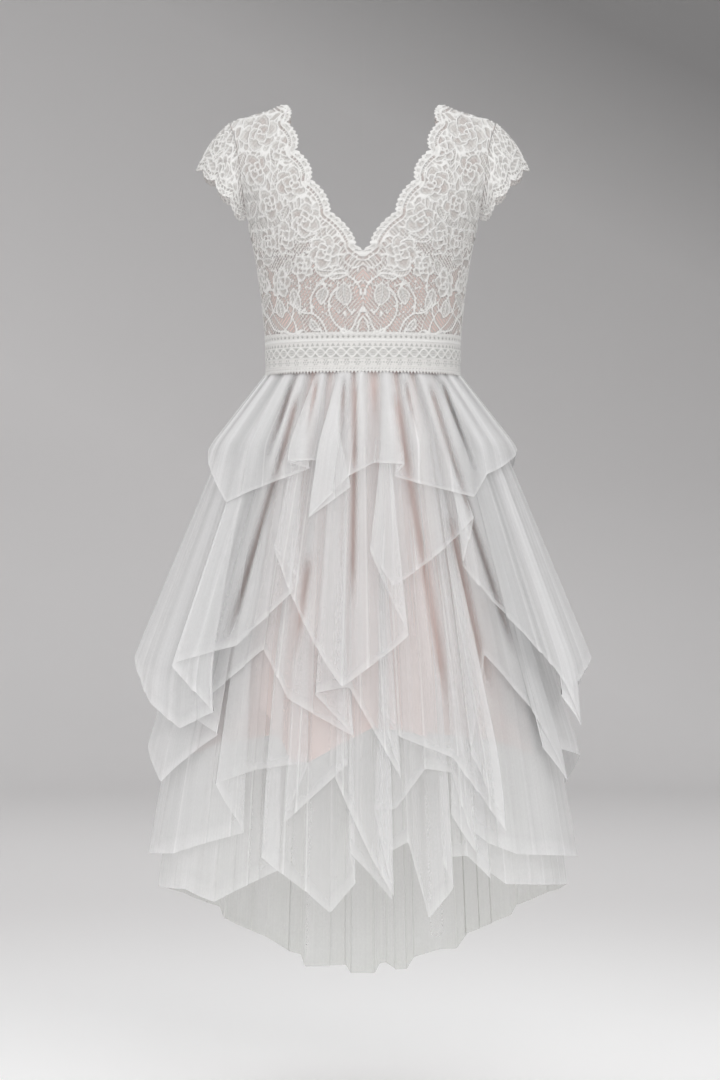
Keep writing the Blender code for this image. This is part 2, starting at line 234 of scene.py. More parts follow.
def smooth_table(positions, values, reach):
    """A table's values joined by a smooth line: (positions, values), 1 mm apart."""
    fine = np.arange(positions[0], positions[-1] + 1.0)
    return fine, soften(np.interp(fine, positions, values), reach)


def body_row(name):
    return smooth_table(BODY["drop"], BODY[name], 15)


BODY_WIDTH = body_row("half_width")
BODY_FRONT = body_row("front")
BODY_BACK = body_row("back")


def shoulder_roll(x, drop):
    """The share of the bodice's depth reached here, from 0 at the shoulder seam to 1 below the chest."""
    seam = SHOULDER_FALL * np.maximum(x - NECK_TIP_X, 0.0) / (SHOULDER_TIP_X - NECK_TIP_X)
    down = np.clip((drop - seam) / (CHEST_DROP - seam), 0.0, 1.0)
    return (1.0 - (1.0 - down) ** 1.7) ** 0.62


def torso_points(x, drop, back):
    """Points of the bodice's form at these distances from the centre line and drops."""
    half_width = np.interp(drop, *BODY_WIDTH)
    depth = np.interp(drop, *(BODY_BACK if back else BODY_FRONT))
    across = np.clip(np.abs(x) / half_width, 0.0, 1.0)
    y = depth * (1.0 - across**ROUNDNESS) ** (1.0 / ROUNDNESS)
    if not back:
        sideways = (np.abs(x) - BUST["x"]) / BUST["across"]
        y = y + BUST["rise"] * np.exp(-sideways**2 - ((drop - BUST["drop"]) / BUST["along"]) ** 2)
    y = y * shoulder_roll(np.abs(x), drop)
    return np.stack([x, y if back else -y, TIP_HEIGHT - drop], axis=-1)


def section_angle(x, drop):
    """The angle round the bodice's oval section, from 0 at the centre line to a right angle at the side."""
    return np.arcsin(np.clip(x / np.interp(drop, *BODY_WIDTH), 0.0, 1.0) ** (ROUNDNESS / 2))


def arm_edge_x(drop):
    """Half the width between the arm edges, and below the underarm between the side seams."""
    edge = np.interp(drop, ARM_EDGE["drop"], ARM_EDGE["x"])
    return np.where(drop >= UNDERARM_DROP, np.interp(drop, *BODY_WIDTH), edge)


def row_length(grid):
    steps = np.linalg.norm(np.diff(grid, axis=1), axis=2)
    return np.concatenate([np.zeros((len(grid), 1)), np.cumsum(steps, axis=1)], axis=1)


def grid_normals(grid):
    normals = np.cross(np.gradient(grid, axis=1), np.gradient(grid, axis=0))
    normals /= np.maximum(np.linalg.norm(normals, axis=2, keepdims=True), 1e-9)
    if (normals[..., :2] * grid[..., :2]).sum() < 0:
        normals = -normals
    return normals


def on_side(sheet, side):
    """A sheet on its own side of the dress: the left as it is, the right with its points mirrored."""
    form, grid, fields, flat = sheet
    return sheet if side == "left" else (form, grid * np.array((-1.0, 1.0, 1.0)), fields, flat)


def grid_quads(rows, columns):
    """The corners of the faces between the points of a grid."""
    index = np.arange(rows * columns).reshape(rows, columns)
    corners = [index[:-1, :-1], index[:-1, 1:], index[1:, 1:], index[1:, :-1]]
    return np.stack(corners, axis=-1).reshape(-1, 4)


def surface(name, points, quads, material):
    """A smooth surface through these points, in metres."""
    mesh = bpy.data.meshes.new(name)
    mesh.from_pydata(points.reshape(-1, 3).tolist(), [], quads.tolist())
    mesh.validate()
    mesh.shade_smooth()
    mesh.materials.append(material)
    item = bpy.data.objects.new(name, mesh)
    bpy.context.scene.collection.objects.link(item)
    return item


def store(mesh, name, kind, slot, values):
    """Keeps a value for each point of a mesh under a name."""
    attribute = mesh.attributes.new(name, kind, "POINT")
    attribute.data.foreach_set(slot, np.ascontiguousarray(values, np.float32).ravel())


def dress_piece(name, node, slot, material, sheet, held, rests_on=(), taken_in=1.0):
    """A piece of cloth that is shown in the place of one CAD body; a sheet is the form whose size is cut, the
    points shown, the named values at them and where they lie on the flat cloth."""
    form, grid, fields, flat = sheet
    rows, columns = grid.shape[:2]
    quads = grid_quads(rows, columns)
    middle = slice(rows // 4, -rows // 4 or None), slice(columns // 4, -columns // 4 or None)
    facing = np.cross(np.gradient(grid, axis=1), np.gradient(grid, axis=0))
    if (facing[middle][..., :2] * grid[middle][..., :2]).sum() < 0:
        quads = quads[:, ::-1]
    piece = surface(name, grid * MM, quads, material)
    for field, values in fields.items():
        store(piece.data, field, "FLOAT", "value", values)
    spread = np.concatenate([flat, np.zeros((rows, columns, 1))], axis=2)
    store(piece.data, "cut", "FLOAT_VECTOR", "vector", spread)
    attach(piece, "root")
    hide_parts(node)
    declare(form)


def declare(grid):
    """Measures the longest line down a piece's form; the length is not used."""
    length = row_length(grid.transpose(1, 0, 2))[:, -1].max()


def neck_line(back):
    neck = BACK_NECK if back else FRONT_NECK
    return smooth_table(neck["drop"], neck["x"], 10)


def panel_drops(back, rows, bottom):
    """The drops of each row at the neck or centre edge and at the arm or side edge."""
    foot = (BACK_NECK if back else FRONT_NECK)["drop"][-1]
    neck = np.linspace(0.0, bottom, rows)
    arm = np.interp(neck, (0.0, 150.0, foot, BAND_TOP_DROP, bottom),
                    (SHOULDER_FALL, UNDERARM_DROP, foot - 13.0, BAND_TOP_DROP, bottom))
    return neck, arm


def panel_surface(neck_drop, arm_drop, first_x, columns, back):
    """Half a bodice front or back, from its neck or centre edge to its arm or side edge."""
    first = section_angle(first_x, neck_drop)[:, None]
    last = section_angle(arm_edge_x(arm_drop), arm_drop)[:, None]
    share = np.linspace(0.0, 1.0, columns)[None, :]
    drop = neck_drop[:, None] + share * (arm_drop - neck_drop)[:, None]
    angle = first + share * (last - first)
    x = np.interp(drop, *BODY_WIDTH) * np.sin(angle) ** (2 / ROUNDNESS)
    return torso_points(x, drop, back)


def lining_grid(back):
    """Half a bodice lining, its upper tips a little lower than the lace's."""
    neck_drop, arm_drop = panel_drops(back, 120, WAIST_DROP)
    first_x = np.interp(neck_drop, *neck_line(back))
    grid = panel_surface(neck_drop, arm_drop, np.maximum(first_x, LINING_START_X), 70, back)
    grid[..., 2] -= 3.0 * np.exp(-neck_drop / 8.0)[:, None]
    return grid + grid_normals(grid) * LINING_LIFT


def path_length(points):
    return np.r_[0.0, np.cumsum(np.linalg.norm(np.diff(points, axis=0), axis=1))]


def bumps(along, pitch):
    """Half waves side by side along an edge, from 0 to 1."""
    return np.abs(np.sin(math.pi * along / pitch))


def lace_panel(back):
    """Half a lace bodice front or back: its points, and each point's distance from the scalloped edge, its
    place along that edge, and where it lies on the flat cloth."""
    neck_drop, arm_drop = panel_drops(back, 236, BAND_TOP_DROP - 0.3)
    edge_x = np.interp(neck_drop, *neck_line(back))
    along = path_length(torso_points(edge_x, neck_drop, back))
    past = LACE_PAST_LINING + SCALLOP_DEPTH * bumps(along, SCALLOP_PITCH) ** SCALLOP_POWER
    grid = panel_surface(neck_drop, arm_drop, np.maximum(edge_x - past, LACE_START_X), 150, back)
    across = row_length(grid) + grid[:, :1, 0] * 1.03
    down = TIP_HEIGHT - grid[..., 2]
    open_rows = edge_x - past > 0.5
    edge = across[open_rows, 0], neck_drop[open_rows], along[open_rows]
    rim, beside = distance_to_edge(across, down, *edge)
    teeth = TOOTH_DEPTH * bumps(along, PICOT_PITCH) * open_rows
    outward = grid[:, 0] - grid[:, 1]
    outward /= np.linalg.norm(outward, axis=1, keepdims=True)
    grid[:, :len(TOOTH_FADE)] += outward[:, None] * (teeth[:, None] * np.array(TOOTH_FADE))[..., None]
    lift = LACE_LIFT + LACE_EDGE_LIFT * np.exp(-rim / 8.0)
    return grid + grid_normals(grid) * lift[..., None], rim, beside, np.stack([across, down], axis=-1)


def distance_to_edge(across, down, edge_across, edge_down, along):
    """How far each point of the flat cloth lies from its edge, and its nearest place along that edge."""
    fine = np.arange(along[0], along[-1], 0.5)
    line = np.stack([np.interp(fine, along, edge_across), np.interp(fine, along, edge_down)], axis=1)
    rim = np.empty(across.shape)
    beside = np.empty(across.shape)
    for row in range(len(across)):
        reach = np.hypot(across[row][:, None] - line[None, :, 0], down[row][:, None] - line[None, :, 1])
        nearest = reach.argmin(axis=1)
        rim[row] = reach[np.arange(len(nearest)), nearest]
        beside[row] = fine[nearest]
    return rim, beside


def near(distance, width):
    """1 on a line, falling to 0 at its edges."""
    return np.clip(1.5 - np.abs(distance) / (width / 2), 0.0, 1.0)


def repeat(place, pitch):
    """The distance from the middle of the nearest repeat, for a pattern repeated along a line."""
    return np.mod(place, pitch) - pitch / 2


def cell_places(width, bottom, spacing, rng):
    """Uneven rows of places for the rounded cells of a lace ground."""
    places = []
    for row, down in enumerate(np.arange(-10.0, bottom, spacing * 1.25)):
        for across in np.arange(-0.6 * bottom, width + 0.6 * bottom, spacing * 0.8):
            shift = rng.uniform(-0.36, 0.36, 2) * spacing
            places.append((across + spacing * 0.4 * (row % 2) + shift[0], down + shift[1]))
    return np.array(places)


def nearest_places(here, places):
    """For each point: the nearest place, how far it is, and how far the line midway to the next one is."""
    first = np.empty(len(here), int)
    nearest = np.empty(len(here))
    gap = np.empty(len(here))
    for start in range(0, len(here), 4000):
        block = slice(start, start + 4000)
        aside, below = here[block].T
        reach = np.hypot(aside[:, None] - places[None, :, 0], below[:, None] - places[None, :, 1])
        order = np.argpartition(reach, 1, axis=1)[:, :2]
        pair = np.take_along_axis(reach, order, axis=1)
        flip = pair[:, 0] > pair[:, 1]
        order[flip] = order[flip][:, ::-1]
        pair.sort(axis=1)
        apart = np.linalg.norm(places[order[:, 0]] - places[order[:, 1]], axis=1)
        first[block] = order[:, 0]
        nearest[block] = pair[:, 0]
        gap[block] = (pair[:, 1] ** 2 - pair[:, 0] ** 2) / (2 * apart)
    return first, nearest, gap


class Lace:
    """Threads worked out point by point: how closed the lace is, and how far its cords stand up."""

    def __init__(self, across, down):
        self.across = across
        self.down = down
        self.cover = np.zeros(across.shape)
        self.cord = np.zeros(across.shape)
        self.hatch = np.zeros(across.shape)

    def fields(self):
        """The named values that the lace material reads."""
        rows = {"cover": self.cover, "cord": self.cord, "hatch": self.hatch}
        return {name: np.clip(values, 0.0, 1.0) for name, values in rows.items()}

    def ground(self, width, bottom, spacing, openness, rng, inside=True):
        """Rounded cells in closed lace; openness is how far they are left as striped net."""
        places = cell_places(width, bottom, spacing, rng)
        size = rng.uniform(0.36, 0.58, len(places)) * spacing
        chance = rng.uniform(0.0, 1.0, len(places))
        slant = 0.55 * np.sin(self.across / 46.0 + self.down / 60.0 + 0.6)
        here = np.stack([(self.across + slant * self.down).ravel(), (self.down * 0.82).ravel()], axis=1)
        here = here + 2.2 * np.stack([np.sin(here[:, 1] / 6.3), np.sin(here[:, 0] / 5.7)], axis=1)
        first, nearest, gap = (row.reshape(self.across.shape) for row in nearest_places(here, places))
        corner = (nearest - size[first] * (1.0 + 0.5 * openness)) / 1.6
        cord = np.clip(np.maximum(1.45 - gap / (1.9 - 0.5 * openness), corner), 0.0, 1.0)
        fill = 0.86 - 0.64 * openness + (0.30 - 0.1 * openness) * (chance[first] - 0.5)
        self.cord = np.where(inside, cord, self.cord)
        self.hatch = np.where(inside, (1.0 - cord) * np.clip(openness * 1.6, 0.0, 1.0), self.hatch)
        self.cover = np.where(inside, np.maximum(fill, cord), self.cover)

    def along_and_aside(self, across, down, end_across, end_down):
        """How far along and beside a straight way each point lies, and the length of the way."""
        length = math.hypot(end_across - across, end_down - down)
        cos, sin = (end_across - across) / length, (end_down - down) / length
        x, y = self.across - across, self.down - down
        return (x * cos + y * sin) / length, y * cos - x * sin, length

    def thread(self, across, down, end_across, end_down, bow, width=3.0):
        """A cord from one point to another, bowed sideways by this much."""
        share, aside = self.along_and_aside(across, down, end_across, end_down)[:2]
        aside = aside - bow * np.sin(math.pi * np.clip(share, 0.0, 1.0))
        self.line(np.where((share > -0.02) & (share < 1.02), aside, 99.0), width)

    def lay(self, inside, cover, cord, edge, hatch=0.15):
        """Lays a motif over what is there, with a cord along its edge."""
        self.cover = np.where(inside, np.maximum(cover, cord), np.maximum(self.cover, edge))
        self.cord = np.where(inside, cord, np.maximum(self.cord, edge))
        self.hatch = np.where(inside, hatch, self.hatch * (1.0 - edge))

    def petal(self, across, down, radius, fill, turn):
        x, y = self.across - across, self.down - down
        reach = np.hypot(x, y)
        angle = np.arctan2(y, x) - turn
        rim = radius * (1.0 + 0.07 * np.cos(3 * angle) + 0.04 * np.cos(7 * angle))
        cord = near(reach - rim + 1.1, 2.8)
        veined = (reach < rim * 0.8) * (reach > rim * 0.3)
        vein = near(np.abs(np.sin(2.5 * angle)) * reach, 1.5) * veined * 0.6
        self.lay(reach < rim, fill - 0.2 * (reach < rim * 0.5), np.maximum(cord, vein), cord)

    def rose(self, across, down, radius, petals, rng):
        """A full flower: two rings of petals, each lying over the last, round an eye."""
        start = rng.uniform(0.0, 2 * math.pi)
        for ring, size, many in ((0.58, 0.50, petals), (0.26, 0.34, 4), (0.0, 0.17, 1)):
            for index in range(many):
                turn = start + 2 * math.pi * index / many + ring
                fill = rng.uniform(0.74, 0.95)
                self.petal(across + radius * ring * math.cos(turn), down + radius * ring * math.sin(turn),
                           radius * size * rng.uniform(0.9, 1.1), fill, turn)

    def leaf(self, across, down, tip_across, tip_down, width):
        """A pointed leaf with a bent midrib and slanting ribs."""
        along, aside, length = self.along_and_aside(across, down, tip_across, tip_down)
        aside = aside + 2.0 * np.sin(math.pi * along)
        half = width * np.sin(math.pi * np.clip(along, 0.0, 1.0)) ** 0.75
        inside = (along > 0) & (along < 1) & (np.abs(aside) < half)
        edge = near(np.abs(aside) - half, 2.8) * (along > -0.02) * (along < 1.02)
        cord = np.maximum(edge, near(aside, 1.8) * inside)
        rib = np.abs(np.sin((along * length - 0.8 * np.abs(aside)) * math.pi / 4.0))
        self.lay(inside, 0.6 + 0.3 * (rib > 0.6), cord, edge)

    def motifs(self, leaves, roses, rng):
        for leaf in leaves:
            self.leaf(*leaf)
        for rose in roses:
            self.rose(*rose, rng)

    def line(self, distance, width, strength=1.0):
        cord = near(distance, width) * strength
        self.cover = np.maximum(self.cover, cord)
        self.cord = np.maximum(self.cord, cord)

    def open_up(self, inside, cover):
        """Leaves the lace only this closed inside a shape."""
        self.cover = np.where(inside, cover, self.cover)

    def border(self, rim, along):
        """The scalloped border: closed along its edge, then two cords with short rungs between them."""
        close = np.clip((8.0 - rim) / 2.0, 0.0, 1.0)
        self.cover = np.maximum(self.cover, 0.95 * close)
        self.hatch = self.hatch * (1.0 - close)
        self.open_up(np.hypot(repeat(along, PICOT_PITCH), rim - 3.6) < 1.0, 0.45)
        ladder = (rim > 7.0) & (rim < 12.5)
        rung = near(repeat(along, 5.2), 2.0) * ladder
        self.open_up(ladder, np.maximum(0.5, rung))
        self.hatch = np.where(ladder, 0.0, self.hatch)
        self.cord = np.where(ladder, 0.7 * rung, self.cord)
        self.line(rim - 1.2, 2.2, 0.8)
        self.line(rim - 7.0, 2.6)
        self.line(rim - 12.5, 2.6)


def with_cords(grid, fields, height):
    """The lace's surface with its cords raised and its net a little sunk."""
    return grid + grid_normals(grid) * (height * fields["cord"] - NET_SINK)[..., None]


def bodice_lace(back):
    """Half a lace bodice front or back as a sheet."""
    grid, rim, beside, flat = lace_panel(back)
    lace = Lace(flat[..., 0], flat[..., 1])
    rng = np.random.default_rng(5 if back else 4)
    openness = np.clip((lace.down - 150.0) / 110.0, 0.10, 0.6)
    lace.ground(215.0, BAND_TOP_DROP, 12.0, openness, rng)
    low = lace.down > 238.0 + 8.0 * np.sin(lace.across / 15.0)
    lace.ground(215.0, BAND_TOP_DROP, 21.0, np.full(low.shape, 0.95), rng, low)
    lace.motifs(BACK_LEAVES if back else FRONT_LEAVES, BACK_ROSES if back else FRONT_ROSES, rng)
    for thread in LOW_THREADS:
        lace.thread(*thread)
    lace.border(rim, beside)
    fields = lace.fields()
    return grid, with_cords(grid, fields, BODICE_CORD_HEIGHT), fields, flat


def sleeve_seam(share):
    """The seam round the armhole, from -1 at its foot in front over the shoulder to 1 behind."""
    drop = SHOULDER_FALL + (SLEEVE_FOOT_DROP - SHOULDER_FALL) * np.abs(share) ** 1.4
    x = arm_edge_x(drop) + 0.9
    front = torso_points(x, drop, False)
    behind = torso_points(x, drop, True)
    return np.where((share > 0)[:, None], behind, front) + np.array((1.1, 0.0, 1.6))


def sleeve_surface():
    """The left cap sleeve: its points, its length at each column, and the columns' places along the hem."""
    shares = np.linspace(-1.0, 1.0, 190)
    seam = sleeve_seam(shares)
    fall = np.array((SLEEVE_LEAN[0], 0.0, SLEEVE_LEAN[1]))
    swell = np.array((-SLEEVE_LEAN[1], 0.0, SLEEVE_LEAN[0]))
    length = SLEEVE_LENGTH * (1.0 - np.sqrt(shares**2 + 0.02) ** 1.3) + 7.0
    along = path_length(seam + fall * length[:, None])
    turns = round(along[-1] / SLEEVE_SCALLOP_PITCH)
    scallop = np.abs(np.sin(math.pi * turns * along / along[-1])) ** SCALLOP_POWER
    length = length + SCALLOP_DEPTH * scallop + SLEEVE_TOOTH_DEPTH * bumps(along, PICOT_PITCH)
    down = np.linspace(0.0, 1.0, 64)[:, None, None]
    bulge = 5.0 * np.sin(math.pi * down) * (1.0 - shares**2)[None, :, None]
    grid = seam + fall * length[:, None] * down + swell * bulge
    grid[..., 1] += 7.0 * down[..., 0] * shares
    return grid, length, along


def sleeve_lace():
    """The left cap sleeve as a sheet."""
    grid, length, along = sleeve_surface()
    down = np.linspace(0.0, 1.0, len(grid))[:, None] * length
    beside = np.broadcast_to(along, down.shape)
    lace = Lace(beside, down)
    rng = np.random.default_rng(8)
    lace.ground(260.0, 90.0, 10.0, np.full(down.shape, 0.3), rng)
    lace.motifs(SLEEVE_LEAVES, SLEEVE_ROSES, rng)
    lace.border(length - down, beside)
    fields = lace.fields()
    return grid, with_cords(grid, fields, SLEEVE_CORD_HEIGHT), fields, np.stack([beside, down], axis=-1)


def band_form(back):
    """Half the waistband on the bodice's form, and the drop of each row."""
    drop = np.linspace(BAND_TOP_DROP - BAND_MARGIN, WAIST_DROP + BAND_MARGIN, 56)[:, None]
    angle = np.linspace(-math.pi / 2, math.pi / 2, 400)[None, :]
    x = np.interp(drop, *BODY_WIDTH) * np.sign(np.sin(angle)) * np.abs(np.sin(angle)) ** (2 / ROUNDNESS)
    grid = torso_points(x, np.broadcast_to(np.clip(drop, 0, WAIST_DROP), x.shape), back)
    grid[..., 2] = TIP_HEIGHT - drop
    return grid, drop


def crochet(around, height, pitch, phase):
    """The rows of the waistband: picots, a raised line, dashes, a lattice, rosettes and a lower edge."""
    lace = Lace(around, height)
    lace.cover += 0.96
    lace.open_up(np.hypot(repeat(around, pitch / 2), (height - 4.5) * 1.2) < 1.5, 0.1)
    lace.cord = lace.cord + 0.55 * (lace.cover > 0.5)
    lace.line(height - 1.0 - 1.0 * np.cos(phase * 2), 2.2, 0.9)
    lace.line(height - 9.0, 4.2)
    dash = np.abs(repeat(around, pitch / 2)) < (height - 12.5) * 0.55
    lace.open_up((height > 13.0) & (height < 17.5) & dash, 0.1)
    lattice = (height > 18.5) & (height < 33.0)
    lace.open_up(lattice, 0.08)
    for sway in (5.6, -5.6):
        lace.line(np.where(lattice, height - 25.8 - sway * np.cos(phase / 2), 9.0), 3.8)
        lace.line(np.where(lattice, height - 25.8 - 0.3 * sway * np.cos(phase / 2), 9.0), 2.0, 0.7)
    lace.line(height - 18.5, 2.4, 0.9)
    lace.line(height - 33.4, 2.4, 0.9)
    place = repeat(around, pitch)
    rosette = np.hypot(place, height - 38.8)
    petal = np.cos(6 * np.arctan2(height - 38.8, place)) > 0.0
    lace.open_up((np.abs(rosette - 3.2) < 1.0) & petal, 0.08)
    lace.open_up(rosette < 0.9, 0.08)
    lace.open_up(np.hypot(repeat(around + pitch / 2, pitch), height - 38.8) < 0.8, 0.08)
    lace.line(height - 43.6, 2.0, 0.8)
    lace.open_up(np.hypot(repeat(around, pitch / 3), height - 47.6) < 0.8, 0.1)
    lace.line(height - 50.5 - 1.1 * np.cos(phase * 3), 2.6)
    return lace


def band_lace(back):
    """Half the crochet waistband as a sheet."""
    grid, drop = band_form(back)
    around = row_length(grid)
    height = drop - BAND_TOP_DROP + np.zeros(around.shape)
    pitch = around[-1, -1] / BAND_PATTERN_REPEATS
    phase = around / pitch * 2 * math.pi
    fields = crochet(around, height, pitch, phase).fields()
    ripple = 0.5 * np.cos(phase * 3.0) * np.exp(-((drop - WAIST_DROP) / 4.0) ** 2)
    out = LACE_LIFT + BODICE_CORD_HEIGHT * fields["cord"] + ripple
    raised = grid + grid_normals(grid) * out[..., None]
    raised[-3:, :, 2] -= 1.8 * np.cos(phase[-3:] * 3) * np.array((0.3, 0.7, 1.0))[:, None]
    return grid, raised, fields, np.stack([around, height], axis=-1)


def seeded_wave(place, knots, seed):
    """A smooth random line over places from 0 to 1, with this many knots, from -1 to 1."""
    values = np.random.default_rng(seed).uniform(-1.0, 1.0, knots + 2)
    spot = np.clip(place, 0.0, 1.0) * knots
    here = np.minimum(spot.astype(int), knots - 1)
    share = spot - here
    share = share * share * (3 - 2 * share)
    return values[here] * (1 - share) + values[here + 1] * share


def turned_to_back(hem, seed):
    """The hem of a layer's back half: the front's turned half round, its points moved a little."""
    shift = np.random.default_rng(seed).uniform(-1.0, 1.0, (len(hem), 2)) * (2.0, 9.0)
    shift[0] = shift[-1] = 0.0
    ends = hem[-1][1] - hem[0][1], hem[0][1] - hem[-1][1]
    moved = []
    for index, ((azimuth, drop), (aside, lower)) in enumerate(zip(hem, shift)):
        share = index / (len(hem) - 1)
        moved.append((azimuth + 180.0 + aside, drop + lower + ends[0] * (1 - share) + ends[1] * share))
    return tuple(moved)


def hem_steps(azimuth, drop, radius):
    """The cloth between one corner of a hem and the next."""
    return np.hypot(np.radians(np.diff(azimuth)) * radius, np.diff(drop))


def hem_turns(azimuth, along):
    """Where along the hem the cloth turns back, and whether it lies behind there."""
    middle = (azimuth[0] + azimuth[-1]) / 2
    turns, behind = [0.0], [0.0]
    for index in range(1, len(azimuth) - 1):
        before, after = azimuth[index] - azimuth[index - 1], azimuth[index + 1] - azimuth[index]
        if before * after < 0:
            outer = (before > 0) == (azimuth[index] > middle)
            turns.append(along[index])
            behind.append(0.0 if outer else 1.0)
    turns.append(along[-1])
    behind.append(0.0)
    return turns, behind


def hem_line(azimuth, drop, along):
    """The hem evenly along its cloth: azimuth, drop, azimuth at the waist and how far each lies behind."""
    spot = np.linspace(0.0, 1.0, TULLE_COLUMNS) * along[-1]
    reach = max(int(3.0 / along[-1] * TULLE_COLUMNS), 1)
    fine = [soften(np.interp(spot, along, line), reach) for line in (azimuth, drop)]
    behind = soften(np.interp(spot, *hem_turns(azimuth, along)), 4 * reach)
    latest = np.maximum.accumulate(azimuth)
    soonest = np.minimum.accumulate(azimuth[::-1])[::-1]
    middle = (azimuth[0] + azimuth[-1]) / 2
    waist = np.interp(spot, along, np.where(azimuth < middle, soonest, latest))
    evenly = azimuth[0] + (azimuth[-1] - azimuth[0]) * np.linspace(0.0, 1.0, TULLE_COLUMNS)
    return fine[0], fine[1], soften(0.8 * waist + 0.2 * evenly, 6 * reach), behind


def gather_strips(azimuth):
    """1 on a bundle of gathers at the waist, 0 between two bundles: the same for every layer."""
    wander = 3.2 * seeded_wave((azimuth + 90.0) / 360.0, 40, 71)
    return 0.5 + 0.5 * np.cos((azimuth + wander) / 360.0 * 2 * math.pi * GATHER_BUNDLES)


def valley_at(x, drop):
    """1 in the middle of a valley between the folds, 0 away from it."""
    depth = np.zeros(np.broadcast(x, drop).shape)
    for waist_x, low_x, top, bottom, width in VALLEYS:
        centre = waist_x + (low_x - waist_x) * (drop - SKIRT_TOP_DROP) / VALLEY_RUN
        length = np.clip((drop - top) / 25.0, 0.0, 1.0) * np.clip((bottom - drop) / 60.0, 0.0, 1.0)
        depth = np.maximum(depth, length * np.exp(-((x - centre) / width) ** 2))
    return depth


def fold_planes(place, corners, count, seed):
    """Flat folds side by side between the hem's corners: how dense each is, from -1 to 1, how far across it
    a place lies, from 0 to 1, and where its crease starts."""
    rng = np.random.default_rng(seed)
    edges = [0.0]
    for first, last in zip(corners[:-1], corners[1:]):
        many = max(round((last - first) * count), 1)
        inner = (np.arange(1, many) + rng.uniform(-0.3, 0.3, many - 1)) / many
        edges.extend(first + (last - first) * inner)
        edges.append(last)
    edges = np.array(edges)
    index = np.clip(np.searchsorted(edges, place, "right") - 1, 0, len(edges) - 2)
    across = (place - edges[index]) / (edges[index + 1] - edges[index])
    across = np.where(rng.uniform(size=len(edges))[index] < 0.5, across, 1.0 - across)
    return rng.uniform(-1.0, 1.0, len(edges))[index], across, rng.uniform(0.0, 0.75, len(edges))[index]


class TulleHalf:
    """Half of a skirt layer, worked out point by point from the waist down to its hem."""

    def __init__(self, layer, hem, back, seed):
        azimuth_hem, drop_hem = np.array(hem, float).T
        crest_line = smooth_table(layer["drop"], layer["half_width"], 20)
        steps = hem_steps(azimuth_hem, drop_hem, np.interp(hem[0][1], *crest_line))
        along = np.r_[0.0, np.cumsum(steps)]
        azimuth_hem, drop_hem, azimuth_waist, self.behind = hem_line(azimuth_hem, drop_hem, along)
        self.back = back
        self.seed = seed
        self.cloth = steps.sum()
        self.place = np.linspace(0.0, 1.0, TULLE_COLUMNS)
        self.share = np.linspace(0.0, 1.0, TULLE_ROWS)[:, None] ** 0.9
        self.drop = SKIRT_TOP_DROP + (drop_hem - SKIRT_TOP_DROP)[None, :] * self.share
        self.down = self.drop - SKIRT_TOP_DROP
        self.from_hem = (drop_hem - SKIRT_TOP_DROP) * (1.0 - self.share)
        self.azimuth = azimuth_waist + (azimuth_hem - azimuth_waist) * self.share**0.8
        self.angle = np.radians(self.azimuth)
        self.aside = np.clip((np.abs(self.azimuth - (180.0 if back else 0.0)) - 32.0) / 30.0, 0.0, 1.0)
        below_table = np.maximum(self.drop - layer["drop"][-1], 0.0)
        self.crest = np.interp(self.drop, *crest_line) + below_table * 0.08
        self.strips = gather_strips(azimuth_waist)
        folds = self.cloth / FOLD_WIDTH
        self.level, self.ramp, self.crease_start = fold_planes(self.place, along / along[-1], folds, seed + 1)
        across = self.crest * np.sin(self.angle) * (-1.0 if back else 1.0)
        self.parting = valley_at(across, self.drop) * np.clip(self.from_hem / 25.0, 0.0, 1.0)

    def dip(self, swing, cones):
        """How far the cloth lies inside its crest: large folds, pleats, gathers and valleys."""
        growth = np.minimum(self.down, LAST_GROWTH)
        ends = np.clip(np.minimum(self.place, 1 - self.place) * 30, 0.0, 1.0)
        cone = 0.5 + 0.5 * seeded_wave(self.place, cones, self.seed)
        pleat = self.ramp * (PLEAT_DEPTH - PLEAT_LESS_ASIDE * self.aside)
        folds = self.behind * (1.0 + FOLDED_UNDER_DEPTH * growth)
        folds = folds + ends * (cone * CONE_DEPTH + pleat) * growth
        gathers = (1.0 - self.strips) * np.exp(-self.down / 110.0)
        valley = self.parting * np.minimum(VALLEY_DEPTH * self.down, DEEPEST_VALLEY)
        return swing * folds + ends * (GATHER_DIP * gathers + WAIST_DIP + valley)

    def points(self, swing, cones):
        """The layer's points; swing is how far its large folds go in, and cones how many there are."""
        radius = self.crest - self.dip(swing, cones)
        waist, flare, easing = BACK_DEPTH if self.back else FRONT_DEPTH
        depth = waist + (radius - SKIRT_WAIST_WIDTH) * flare
        depth = depth - np.maximum(depth - easing, 0.0) * SHARE_PAST_EASING
        x, y = radius * np.sin(self.angle), -depth * np.cos(self.angle)
        return np.stack([x, y, TIP_HEIGHT - self.drop], axis=-1)

    def cover(self, grid, base, sides):
        """How closed the net looks: more so at the sides, on gathers, edge-on, in creases and at the hem."""
        outward = np.stack([np.sin(self.angle), -np.cos(self.angle), np.zeros_like(self.angle)], axis=-1)
        facing = np.abs((grid_normals(grid) * outward).sum(axis=2))
        cover = base * (0.95 + sides * self.aside) + np.exp(-self.down / 130.0) * (0.42 * self.strips - 0.19)
        # Across each fold plane the net grows denser towards its crease; through the tulle's light and shade
        # tones this also paints a shade gradient across the plane.
        planes = 0.16 * self.level + 0.24 * (self.ramp - 0.5)
        threads = 0.05 * seeded_wave(self.place, 150, self.seed + 2)
        cover = cover * (1.0 + planes * (1.0 - 0.7 * self.aside) + threads)
        cover = cover * (1.0 - 0.85 * self.parting)
        cover = 1.0 - (1.0 - np.clip(cover, 0.03, 0.9)) ** (1.0 / np.clip(facing, 0.16, 1.0))
        crease = np.clip((self.ramp - 0.96) / 0.03, 0.0, 1.0)
        below_start = np.clip((self.share - self.crease_start) / 0.15, 0.0, 1.0)
        cover = cover + (0.16 - 0.08 * self.aside) * crease * below_start
        cover = cover + 0.13 * np.exp(-((self.from_hem / 2.5) ** 2))
        return np.clip(cover, 0.03, 0.97)


